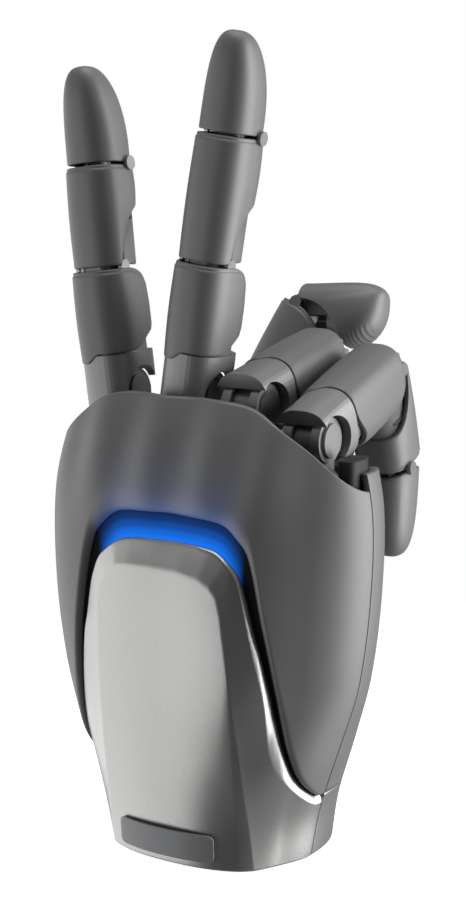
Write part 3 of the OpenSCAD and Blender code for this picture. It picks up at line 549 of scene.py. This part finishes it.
def palm_wall(name, palm, turns, low, high, material, node, steps=240, rows=70, edge=COVER_ROLL,
              bevel=None, lower_roll=None, sink=None, glow=None):
    """Part of the palm's wall between two angles, with rolled edges all round; bevel says how much of a broad
    bevel its top edge has at an angle, and sink how deep its face lies under the palm's surface."""
    side = np.linspace(0, 1, END_STEPS)[:-1]
    turn = np.concatenate([turns[0] + END_TURN * side,
                           np.linspace(turns[0] + END_TURN, turns[1] - END_TURN, steps),
                           turns[1] - END_TURN * side[::-1]])
    from_end = np.minimum(np.abs(turn - turns[0]), np.abs(turn - turns[1]))
    side_inset = SIDE_ROLL * (1 - np.sqrt(np.clip(1 - (1 - from_end / END_TURN) ** 2, 0, 1))) * (from_end < END_TURN)
    roll = lower_roll(turn) if lower_roll else (edge + 0 * turn, edge + 0 * turn)
    broad = bevel(turn) if bevel else 0 * turn

    def inward(turn, z, inset):
        """How far the face lies in, at the rolled ends of the wall and by its sink."""
        return side_inset * (inset < palm.wall - FACE_MARGIN) + (sink(turn, z) if sink else 0)

    loops = wall_profile(palm, turn, low(turn), high(turn), rows, edge + (BEVEL_DEPTH - edge) * broad,
                         edge + (BEVEL_WIDTH - edge) * broad, roll, inward)
    n, m = loops.shape[:2]
    faces = list(sheet_faces(n, m, ring_columns=True))
    faces += [list(range(m - 1, -1, -1)), list(range((n - 1) * m, n * m))]
    uv = None
    # Painted glow: emission levels in the glow UV layer stand in for the channel's light on the shell's face
    if glow:
        level = glow(turn[:, None], loops[..., 2])
        level[:, rows + 2 * (ROLL_STEPS - 1):] = 0  # the inner face stays dark
        uv = ("glow", np.stack([level, 0 * level], -1).reshape(-1, 2))
    return make_object(name, loops.reshape(-1, 3), faces, material, "palm", [node], uv=uv)


class HAND_OT_palm_shells(bpy.types.Operator):
    """Dark shells of the back and the palm side, with flutes in line with the fingers"""

    bl_idname = "hand.palm_shells"
    bl_label = "Palm Shells"

    def execute(self, context):
        palm = Palm(settings()[0])

        def lip(turn):
            """Height and depth of the back shell's rolled lip, which grows toward the top of the light channel."""
            share = palm.rise(palm.channel_edge(turn)) ** LIP_POWER
            return LIP_LEAST + LIP_HEIGHT * share, LIP_LEAST + LIP_DEPTH * share

        def glow(turn, z):
            """Painted glow that stands in for the light spilling from the channel: strongest at the shell's edge, gone
            some 15 mm above it.
            """
            return PAINTED_GLOW_LEVEL * palm.lit(turn) * np.exp(-np.maximum(z - palm.groove_edge(turn), 0) / PAINTED_GLOW_REACH)

        # Near-black plug beside a knuckle: painted shade over a gap in the palm
        beside_knuckle = np.eye(4)
        beside_knuckle[0, 3] = PALM_SHADE_PLUG_X
        plug("PalmShadePlug", beside_knuckle, PALM_SHADE_PLUG_HALF, PALM_SHADE_PLUG_Y, PALM_SHADE_PLUG_TOP, "palm",
             PALM_SHADE_PLUG_DEPTH)
        # The back shell carries the painted glow from the light channel
        palm_wall("BackShell", palm, BACK_TURNS, palm.groove_edge, palm.back_top, painted_glow_lacquer(),
                  "back_shell", lower_roll=lip, glow=glow)
        palm_wall("PalmShell", palm, PALM_TURNS, lambda turn: palm.cuff + palm.seam + 0 * turn, palm.palm_top,
                  shell_lacquer(), "palm_shell")
        return {"FINISHED"}


def outside(outline, x, y):
    """Distance of each point from an outline, or 0 inside it; the outline closes far below its ends."""
    start, run = outline[:-1], np.diff(outline, axis=0)
    spot = np.stack([x, y], -1)
    t = np.clip(((spot[:, None] - start) * run).sum(-1) / (run ** 2).sum(-1), 0, 1)
    away = np.linalg.norm(spot[:, None] - start - run * t[..., None], axis=-1).min(1)
    loop = np.vstack([outline, [[outline[-1, 0], FAR_BELOW], [outline[0, 0], FAR_BELOW]]])
    (ax, ay), (bx, by) = loop.T, np.roll(loop, -1, axis=0).T
    crosses = (ay[None] > y[:, None]) != (by[None] > y[:, None])
    at = ax[None] + (y[:, None] - ay[None]) / np.where(by == ay, 1, by - ay)[None] * (bx - ax)[None]
    return np.where((crosses & (x[:, None] < at)).sum(1) % 2 == 1, 0, away)


class HAND_OT_tongue(bpy.types.Operator):
    """Silver tongue with its raised panel, the cuff and the bare plate"""

    bl_idname = "hand.tongue"
    bl_label = "Tongue and Cuff"

    def execute(self, context):
        palm = Palm(settings()[0])
        outline = np.array(PANEL_OUTLINE, float)

        def panel_sink(turn, z):
            """Depth under the palm's surface: the flat raised panel, and a soft step down at its outline."""
            x = palm.point(turn, z, 0)[..., 0]
            across = np.clip((x + PANEL_MIDDLE) / PANEL_HALF, -1, 1)
            flat = PANEL_FLATTENING * (1 - across ** 2) * (1 - PANEL_EASE * ramp((z - PANEL_EASE_START) / FADE))
            flush = ramp((FLUSH_TURNS[1] - turn) / FLUSH_OVER) * ramp((turn - FLUSH_TURNS[0]) / FLUSH_OVER)
            upper = ramp((z - STEP_START) / STEP_OVER)
            reach = STEP_REACH + STEP_LONGER * upper
            step = (STEP_SLOPE - STEP_EASE * upper) * reach * (1 - np.exp(-outside(outline, x, z) / reach))
            return np.minimum(flat + flush * step, DEEPEST)

        palm_wall("Tongue", palm, BACK_TURNS, lambda turn: FOOT + 0 * turn, palm.tongue_edge, tongue_lacquer(),
                  "back_cover", steps=300, rows=120, edge=0.5, sink=panel_sink,
                  bevel=lambda turn: ramp((turn - BEVEL_FROM) / BEVEL_OVER))
        palm_wall("Cuff", palm, PALM_TURNS, lambda turn: FOOT + 0 * turn, lambda turn: palm.cuff + 0 * turn,
                  tongue_lacquer(), "wrist_cuff", rows=20, edge=0.6)
        self.plate(palm)
        return {"FINISHED"}

    def plate(self, palm):
        """The bare plate: a thin sheet with round corners on the foot of the panel."""
        half, middle, corner, lift = (16.3, 4.1), (-1.1, 7.1), 1.6, 0.3
        rim = (1.0, 0.997, 0.985)  # shares of the half size at which the edge stands, bevels and lies flat
        u = np.concatenate([-np.array(rim), np.linspace(-0.96, 0.96, 60), rim[::-1]])
        v = np.concatenate([-np.array(rim), np.linspace(-0.94, 0.94, 16), rim[::-1]])
        v, u = np.meshgrid(v, u, indexing="ij")
        past = np.maximum(np.abs(v) * half[1] - half[1] + corner, 0)
        x = middle[0] + u * (half[0] - corner + np.sqrt(np.maximum(corner ** 2 - past ** 2, 0)))
        z = middle[1] + v * half[1]
        out = np.maximum(np.abs(u), np.abs(v))
        height = np.where(out > 0.999, -0.4, np.where(out > 0.99, lift - 0.1, lift))
        points = palm.point(palm.turn_at(x, z), z, -height)
        make_object("NamePlate", points.reshape(-1, 3), sheet_faces(*u.shape), plate_finish(), "palm",
                    ["name_plate"])


class HAND_OT_light_channel(bpy.types.Operator):
    """Sloped light channel between the tongue and the back shell"""

    bl_idname = "hand.light_channel"
    bl_label = "Light Channel"

    def execute(self, context):
        palm = Palm(settings()[0])
        turn = np.linspace(*CHANNEL_TURNS, 260)
        share = np.linspace(0, 1, 14)
        edge = palm.tongue_edge(turn)
        low, high = edge - CHANNEL_BELOW, palm.groove_edge(turn) + CHANNEL_ABOVE
        rows, uv = [], []
        for s in share:
            z = low + (high - low) * s
            rows.append(palm.point(turn, z, CHANNEL_DEEP - CHANNEL_SLOPE * s ** CHANNEL_POWER))
            level = np.clip((z - edge) / np.maximum(high - CHANNEL_ABOVE - edge, 0.1), 0, 1)
            uv.append(np.stack([palm.lit(turn), level], -1))
        points, uv = np.stack(rows), np.stack(uv)
        make_object("LightChannel", points.reshape(-1, 3), sheet_faces(len(share), len(turn)),
                    channel_light(), "palm", ["light_strip"], uv=("channel", uv.reshape(-1, 2)))
        return {"FINISHED"}


def basis(origin, across, aim, lean=0.0):
    """4 by 4 frame with X across; aim stands at (0, lean, some length) in it."""
    run = aim - origin
    run = run - across * (run @ across)
    length = math.sqrt(max(run @ run - lean * lean, 0))
    u = run / np.linalg.norm(run)
    w = np.cross(u, across)
    z, y = length * u - lean * w, lean * u + length * w
    made = np.eye(4)
    made[:3] = np.stack([across, y / np.linalg.norm(y), z / np.linalg.norm(z), origin], 1)
    return made, length


def bent(place, origin, angle):
    """A frame bent toward the palm by an angle about its X, at a new origin."""
    made = np.eye(4)
    made[:3, :3] = place[:3, :3] @ np.array(Matrix.Rotation(-angle, 3, "X"))
    made[:3, 3] = origin
    return made


def joint_places(finger, parts):
    """Where a finger's joints are."""
    return {part: np.array(JOINTS[f"{finger}_{part}"]["pos_m"]) / MM for part in parts}


def finger_frames(finger):
    """Frames of a finger's three phalanges and the first two's lengths, from its joints."""
    place = joint_places(finger, ("bend", "middle_bend", "end_bend"))
    across = -np.array(JOINTS[f"{finger}_bend"]["axis"], float)
    first, first_length = basis(place["bend"], across, place["middle_bend"], MIDDLE_AXIS)
    middle, middle_length = basis(place["middle_bend"], across, place["end_bend"], END_AXIS - MIDDLE_AXIS)
    between = first[:3, :3].T @ middle[:3, :3]
    angle = math.atan2(between[1, 2], between[2, 2])
    return first, first_length, middle, middle_length, bent(middle, place["end_bend"], END_RATIO * angle)


def moved(points, place):
    """Points carried into a 4 by 4 frame."""
    return points.reshape(-1, 3) @ place[:3, :3].T + place[:3, 3]


def first_end(y, length):
    """End edge of a first-phalanx cover: flat, then rounded down toward the palm side."""
    drop = np.clip(np.maximum(y + FIRST_FLAT, 0) / FIRST_ROUND, 0, 0.999)
    return length - JOINT_GAP / 2 - FIRST_NOTCH * (1 - np.sqrt(1 - drop ** 2))


def middle_start(y, half_d):
    """Start edge of a middle-phalanx cover, notched on the palm side for the bend."""
    s = np.clip((y - MIDDLE_AXIS + NOTCH_BEFORE) / (half_d - MIDDLE_AXIS + NOTCH_SPAN), 0, 1)
    return JOINT_GAP / 2 + MID_NOTCH * np.sqrt(np.clip(1 - (1 - s) ** 2, 0, 1))


def tube_cover(name, place, half, mid_y, low, high, wall, body, node, band=1.3, steps=144, rows=44):
    """Tube cover of a phalanx with rolled rims and a fine step near its far end."""
    turn = np.linspace(0, 2 * np.pi, steps, endpoint=False)
    across, deep = rounded(np.cos(turn), TUBE_POWER), rounded(np.sin(turn), TUBE_POWER)
    edge = COVER_ROLL
    quarter = np.linspace(0, np.pi / 2, 5)
    rings = []

    def ring(share, inset, from_low=0.0, from_high=0.0):
        crown = 1 + COVER_CROWN * np.sin(np.pi * share)
        x, y = (half[0] * crown - inset) * across, (half[1] * crown - inset) * deep
        bottom, top = low(half[0] * across, y) + from_low, high(half[0] * across, y) - from_high
        rings.append(np.stack([x, mid_y + y, bottom + (top - bottom) * share], -1))

    for a in quarter[:-1]:
        ring(0, edge * (1 - np.sin(a)), from_low=edge * (1 - np.cos(a)))
    for share in np.linspace(0, 1, rows):
        ring(share, 0, edge, band)
    for inset, rise in COVER_STEP:
        ring(1, inset, 0, band - rise)
    for a in quarter:
        ring(1, COVER_STEP[-1][0] + edge * (1 - np.cos(a)), 0, edge * (1 - np.sin(a)))
    for share in (1, 0.97, 0.75, 0.5, 0.25, 0.03, 0):
        ring(share, wall)
    faces = sheet_faces(len(rings), steps, ring_rows=True, ring_columns=True)
    return make_object(name, moved(np.stack(rings), place), faces, shell_lacquer(), body, [node])


def guard(name, place, half_d, body):
    """Channel in the notch of a middle cover, with rolled lips, that slides into the first cover."""
    turn = np.linspace(*map(math.radians, GUARD_TURNS), 72)
    steps, loops = len(turn), []
    # Inset, rise over the start edge, and whether the point is at the start or the end
    for inset, low, at_end in ((0.45, 0.0, 0), (0.15, 0.15, 0), (0.0, 0.5, 0), (0.0, 1.0, 0), (0.0, 1.0, 1),
                               (1.0, 1.0, 1), (1.0, 1.0, 0), (1.0, 0.2, 0), (0.8, 0.0, 0)):
        x = (GUARD_HALF - inset) * rounded(np.cos(turn), TUBE_POWER)
        y = (half_d - GUARD_CLEAR - inset) * rounded(np.sin(turn), TUBE_POWER)
        start = np.where((np.abs(x) < GUARD_SLOT_HALF) & (y > 0), GUARD_SLOT_START, GUARD_START) + low
        loops.append(np.stack([x, y - MIDDLE_AXIS, MID_NOTCH + GUARD_PAST + 0 * start if at_end else start], -1))
    faces = list(sheet_faces(len(loops), steps, ring_rows=True))
    faces += [[i * steps for i in range(len(loops) - 1, -1, -1)],
              [i * steps + steps - 1 for i in range(len(loops))]]
    return make_object(name, moved(np.stack(loops), place), faces, shell_lacquer(), body)


def plug(name, place, half, mid_y, height, body, depth=1.5):
    """Near-black plug across a cover or beside a knuckle, so that no light passes through; its colour is painted
    shade.
    """
    turn = np.linspace(0, 2 * np.pi, SHADE_PLUG_SIDES, endpoint=False)
    across, deep = rounded(np.cos(turn), TUBE_POWER), rounded(np.sin(turn), TUBE_POWER)
    rings = [np.stack([share * half[0] * across, mid_y + share * half[1] * deep, z + 0 * turn], -1)
             for share, z in ((0.05, height), (0.96, height), (1.0, height - SHADE_PLUG_EDGE),
                              (1.0, height - depth + SHADE_PLUG_EDGE), (0.96, height - depth), (0.05, height - depth))]
    faces = capped_faces(len(rings), SHADE_PLUG_SIDES)
    return make_object(name, moved(np.stack(rings), place), faces, shade_plug_black(), body)


def tip_cover(name, place, half, mid_y, length, low, wall, body, node, pad, steps=144, rows=64):
    """Closed cap of a fingertip, leaning toward the back of the finger, with grip ridges on its pad."""
    turn = np.linspace(0, 2 * np.pi, steps, endpoint=False)
    across, deep = rounded(np.cos(turn), TIP_POWER), rounded(np.sin(turn), TIP_POWER)
    lean = half[1] * TIP_LEAN
    edge = COVER_ROLL
    rings = []

    def ring(h, inset, top, lift=0.0):
        s = max(1 - h ** TIP_DOME, 0.0) ** (1 / TIP_TAPER)
        x, y = (half[0] - inset) * s * across, (half[1] - inset) * s * deep
        height = (low(half[0] * across, y) + lift) * (1 - h) + top * h
        if inset == 0:
            fade = ramp((height - pad[0]) / 2) * ramp((pad[1] - height) / 3) * ramp((np.sin(turn) - 0.55) / 0.2)
            y = y - RIDGE_DEPTH * fade * (0.5 + 0.5 * np.cos(2 * np.pi * height / pad[2]))
        rings.append(np.stack([x, mid_y + y - lean * h * h, height], -1))

    for h in (1 - np.linspace(0, 1, rows) ** ROW_BUNCHING)[:-1]:
        ring(min(h, NEAR_TOP), 0, length, edge)
    for a in np.linspace(np.pi / 2, 0, 5):
        ring(0, edge * (1 - np.sin(a)), length, edge * (1 - np.cos(a)))
    for h in 1 - np.linspace(1, 0, 12) ** ROW_BUNCHING:
        ring(min(h, NEAR_TOP), wall, length * TIP_HOLLOW)
    faces = capped_faces(len(rings), steps)
    return make_object(name, moved(np.stack(rings), place), faces, shell_lacquer(), body, [node])


class HAND_OT_finger_covers(bpy.types.Operator):
    """Covers of the fingers' first and middle phalanges and the fingertips"""

    bl_idname = "hand.finger_covers"
    bl_label = "Finger Covers"

    def execute(self, context):
        sizes = settings()[0]
        wall, pitch = sizes.cover_wall / MM, sizes.ridge_pitch / MM
        first_half, middle_half, tip_half = (np.array(v) / MM for v in
                                             (sizes.first_half, sizes.middle_half, sizes.tip_half))
        for finger in FINGERS:
            first, first_length, middle, middle_length, tip = finger_frames(finger)
            title = finger.capitalize()

            def slotted_end(x, y):
                slot = (np.abs(x) < GUARD_HALF + SLOT_GAP) & (y > SLOT_FROM)
                return np.where(slot, first_length - GUARD_DEPTH - SLOT_DEEPER, first_end(y, first_length))

            tube_cover(f"{title}FirstCover", first, first_half, 0,
                       lambda x, y: (COVER_START + COVER_RISE * ramp((y + RISE_AT) / RISE_RUN)
                                     - COVER_SKIRT * ramp((SKIRT_AT - x) / SKIRT_RUN)),
                       slotted_end, wall, f"{finger}_first", f"{finger}_first_cover")
            tube_cover(f"{title}MiddleCover", middle, middle_half, -MIDDLE_AXIS,
                       lambda x, y: middle_start(y, middle_half[1]),
                       lambda x, y: middle_length - JOINT_GAP / 2 + 0 * y, wall, f"{finger}_middle",
                       f"{finger}_middle_cover")
            # Near-black plugs inside the covers: painted shade where the covers are open
            plug(f"{title}FirstShadePlug", first, first_half - wall, 0, first_length - SHADE_PLUG_DEPTH, f"{finger}_first")
            plug(f"{title}MiddleSeal", middle, middle_half - wall, -MIDDLE_AXIS, middle_length - SHADE_PLUG_DEPTH,
                 f"{finger}_middle")
            guard(f"{title}Guard", middle, middle_half[1], f"{finger}_middle")
            tip_cover(f"{title}Tip", tip, tip_half, -END_AXIS, TIP_LENGTH,
                      lambda x, y: JOINT_GAP / 2 + TIP_SLANT * np.maximum(y - END_AXIS, 0), wall,
                      f"{finger}_tip", f"{finger}_tip_cover", (*PAD_SPAN, pitch))
        return {"FINISHED"}


class HAND_OT_thumb_covers(bpy.types.Operator):
    """Covers of the thumb"""

    bl_idname = "hand.thumb_covers"
    bl_label = "Thumb Covers"

    def execute(self, context):
        sizes = settings()[0]
        wall = sizes.cover_wall / MM
        half = np.array(sizes.thumb_half) / MM
        place = joint_places("thumb", ("swing", "bend", "end_bend"))
        across = -np.array(JOINTS["thumb_bend"]["axis"], float)
        meta, meta_length = basis(place["swing"], across, place["bend"])
        first, first_length = basis(place["bend"], across, place["end_bend"], MIDDLE_AXIS)
        tip = bent(first, place["end_bend"], THUMB_BEND)
        tube_cover("ThumbMetaCover", meta, half, 0, lambda x, y: THUMB_START + 0 * y,
                   lambda x, y: meta_length - JOINT_GAP / 2 - THUMB_SLANT * np.maximum(y, 0), wall,
                   "thumb_meta", "thumb_meta_cover")
        tube_cover("ThumbFirstCover", first, half, 0, lambda x, y: JOINT_GAP / 2 + THUMB_SLANT * np.maximum(y, 0),
                   lambda x, y: first_end(y, first_length), wall, "thumb_first", "thumb_first_cover")
        tip_cover("ThumbTip", tip, half, -MIDDLE_AXIS, THUMB_TIP_LENGTH,
                  lambda x, y: THUMB_NOTCH * middle_start(y, half[1]), wall, "thumb_tip", "thumb_tip_cover",
                  (*THUMB_PAD_SPAN, sizes.ridge_pitch / MM))
        return {"FINISHED"}


class HAND_OT_finishes(bpy.types.Operator):
    """Finishes of the frames, pins, drives and board that show as they were packed"""

    bl_idname = "hand.finishes"
    bl_label = "Metal Finishes"

    def execute(self, context):
        by_slot = {"board": board_mask(), "drive": drive_metal(), "frame": frame_anodised(), "steel": pin_steel(),
                   "shell": shell_lacquer(), "tongue": tongue_lacquer(), "plate": plate_finish(),
                   "light": channel_light()}
        slots = {part["node"]: part["material_slot"] for part in frame["record"]["subparts"]}
        for node, obj in frame["nodes"].items():
            obj.data.materials.clear()
            obj.data.materials.append(by_slot[slots[node]])
        return {"FINISHED"}


class HAND_OT_studio(bpy.types.Operator):
    """Pale floor, soft boxes and the camera"""

    bl_idname = "hand.studio"
    bl_label = "Studio"

    def execute(self, context):
        studio = settings()[2]
        scene = context.scene
        scene.view_settings.view_transform = "Standard"
        camera = bpy.data.objects.new("Camera", bpy.data.cameras.new("Camera"))
        scene.collection.objects.link(camera)
        camera.location, camera.rotation_euler = studio.camera_place, studio.camera_turn
        camera.data.lens, camera.data.sensor_width, camera.data.clip_start = studio.lens, 36, 0.01
        scene.camera = camera
        self.world(scene)
        self.floor(scene)
        self.lamps(scene, studio.lamps)
        return {"FINISHED"}

    def world(self, scene):
        """White to the camera; as light, dim grey with a dark front."""
        world = bpy.data.worlds.new("Studio")
        scene.world = world
        world.use_nodes = True
        tree = world.node_tree
        tree.nodes.clear()
        path = add(tree, "ShaderNodeLightPath")
        toward = add(tree, "ShaderNodeVectorMath", {0: add(tree, "ShaderNodeTexCoord").outputs["Generated"],
                                                    1: DARK_FRONT}, operation="DOT_PRODUCT")
        front = add(tree, "ShaderNodeMapRange", {"Value": toward.outputs["Value"], "From Min": 0.5, "From Max": 0.85,
                                                 "To Min": 0.27, "To Max": 0.05}, interpolation_type="SMOOTHSTEP")
        light = add(tree, "ShaderNodeBackground", {"Color": (1, 1, 1, 1), "Strength": front.outputs["Result"]})
        seen = add(tree, "ShaderNodeBackground", {"Color": (1, 1, 1, 1), "Strength": 1.0})
        mixed = add(tree, "ShaderNodeMixShader", {"Fac": path.outputs["Is Camera Ray"], 1: light.outputs[0],
                                                  2: seen.outputs[0]})
        add(tree, "ShaderNodeOutputWorld", {"Surface": mixed.outputs[0]})

    def floor(self, scene):
        """Pale matt floor that keeps the hand's shadow and fades out with the distance."""
        mesh = bpy.data.meshes.new("Floor")
        corners = ((-1, -1), (1, -1), (1, 1), (-1, 1))
        mesh.from_pydata([(x * FLOOR_HALF, y * FLOOR_HALF, FLOOR_HEIGHT) for x, y in corners], [], [(0, 1, 2, 3)])
        floor = bpy.data.objects.new("Floor", mesh)
        scene.collection.objects.link(floor)
        material, tree = new_material("matt_white_paper_floor")
        path = add(tree, "ShaderNodeLightPath")
        paper = add(tree, "ShaderNodeBsdfDiffuse", {"Color": linear("#F2F2F2")})
        clear = add(tree, "ShaderNodeBsdfTransparent")
        white = add(tree, "ShaderNodeEmission", {"Color": (1, 1, 1, 1), "Strength": 0.88})
        both = add(tree, "ShaderNodeAddShader", {0: paper.outputs[0], 1: white.outputs[0]})
        lit = add(tree, "ShaderNodeMixShader", {"Fac": path.outputs["Is Camera Ray"], 1: clear.outputs[0],
                                                2: both.outputs[0]})
        place = add(tree, "ShaderNodeTexCoord").outputs["Object"]
        away = add(tree, "ShaderNodeVectorMath", {0: place}, operation="LENGTH")
        fade = add(tree, "ShaderNodeMapRange", {"Value": away.outputs["Value"], "From Min": FLOOR_FADE[0],
                                                "From Max": FLOOR_FADE[1]}, interpolation_type="SMOOTHSTEP")
        mixed = add(tree, "ShaderNodeMixShader", {"Fac": fade.outputs["Result"], 1: lit.outputs[0],
                                                  2: clear.outputs[0]})
        add(tree, "ShaderNodeOutputMaterial", {"Surface": mixed.outputs[0]})
        mesh.materials.append(material)

    def lamps(self, scene, level):
        """Tall soft boxes at both sides of the camera with a dark front between them, and one above."""
        for name, place, size, power in SOFT_BOXES:
            lamp = bpy.data.lights.new(name, "AREA")
            lamp.shape, lamp.size, lamp.size_y, lamp.energy = "RECTANGLE", size[0], size[1], power * level
            made = bpy.data.objects.new(name, lamp)
            made.location = place
            made.rotation_euler = (Vector(BOX_AIM) - Vector(place)).to_track_quat("-Z", "Y").to_euler()
            scene.collection.objects.link(made)


class HAND_PT_panel(bpy.types.Panel):
    """Sizes, colours and pieces of the robot hand"""

    bl_label = "Robot Hand"
    bl_idname = "HAND_PT_panel"
    bl_space_type = "VIEW_3D"
    bl_region_type = "UI"
    bl_category = "Robot Hand"

    def draw(self, context):
        for group in settings():
            box = self.layout.box()
            for name in group.__annotations__:
                box.prop(group, name)
        for operator in OPERATORS:
            self.layout.operator(operator.bl_idname)


GROUPS = (HandSizes, HandColours, StudioSettings)
OPERATORS = (HAND_OT_studio, HAND_OT_finishes, HAND_OT_palm_shells, HAND_OT_tongue, HAND_OT_light_channel,
             HAND_OT_finger_covers, HAND_OT_thumb_covers)


def register():
    for each in GROUPS + OPERATORS + (HAND_PT_panel,):
        bpy.utils.register_class(each)
    bpy.types.Scene.hand_sizes = bpy.props.PointerProperty(type=HandSizes)
    bpy.types.Scene.hand_colours = bpy.props.PointerProperty(type=HandColours)
    bpy.types.Scene.hand_studio = bpy.props.PointerProperty(type=StudioSettings)


def unregister():
    for name in ("hand_sizes", "hand_colours", "hand_studio"):
        delattr(bpy.types.Scene, name)
    for each in reversed(GROUPS + OPERATORS + (HAND_PT_panel,)):
        bpy.utils.unregister_class(each)


def main():
    register()
    for operator in OPERATORS:
        group, name = operator.bl_idname.split(".")
        getattr(getattr(bpy.ops, group), name)()


if __name__ == "__main__":
    main()
